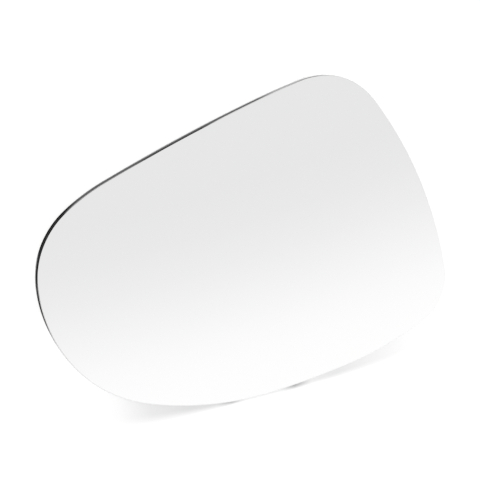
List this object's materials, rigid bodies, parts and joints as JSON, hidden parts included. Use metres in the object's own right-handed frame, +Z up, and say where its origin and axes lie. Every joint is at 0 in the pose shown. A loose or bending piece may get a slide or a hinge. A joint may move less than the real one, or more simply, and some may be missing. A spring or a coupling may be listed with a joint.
{
  "type": "car door mirror glass",
  "caption": "Bare convex mirror pane for a car door mirror: a thin curved glass with a rounded trapezoid outline, a silvered face and a ground edge.",
  "frame": {"origin": "on the floor under the middle of the pane's outline", "axes": "+X along the pane's length towards its wide end, +Y across its height towards its top edge, +Z up, out of the mirror face"},
  "size_m": [0.17, 0.1144, 0.0048],
  "materials": {
    "mirror_glass": "silvered glass with a fine ground edge and a matt grey lacquered back"
  },
  "bodies": {
    "root": {"mirror_glass": "mirror_glass"}
  },
  "joints": []
}
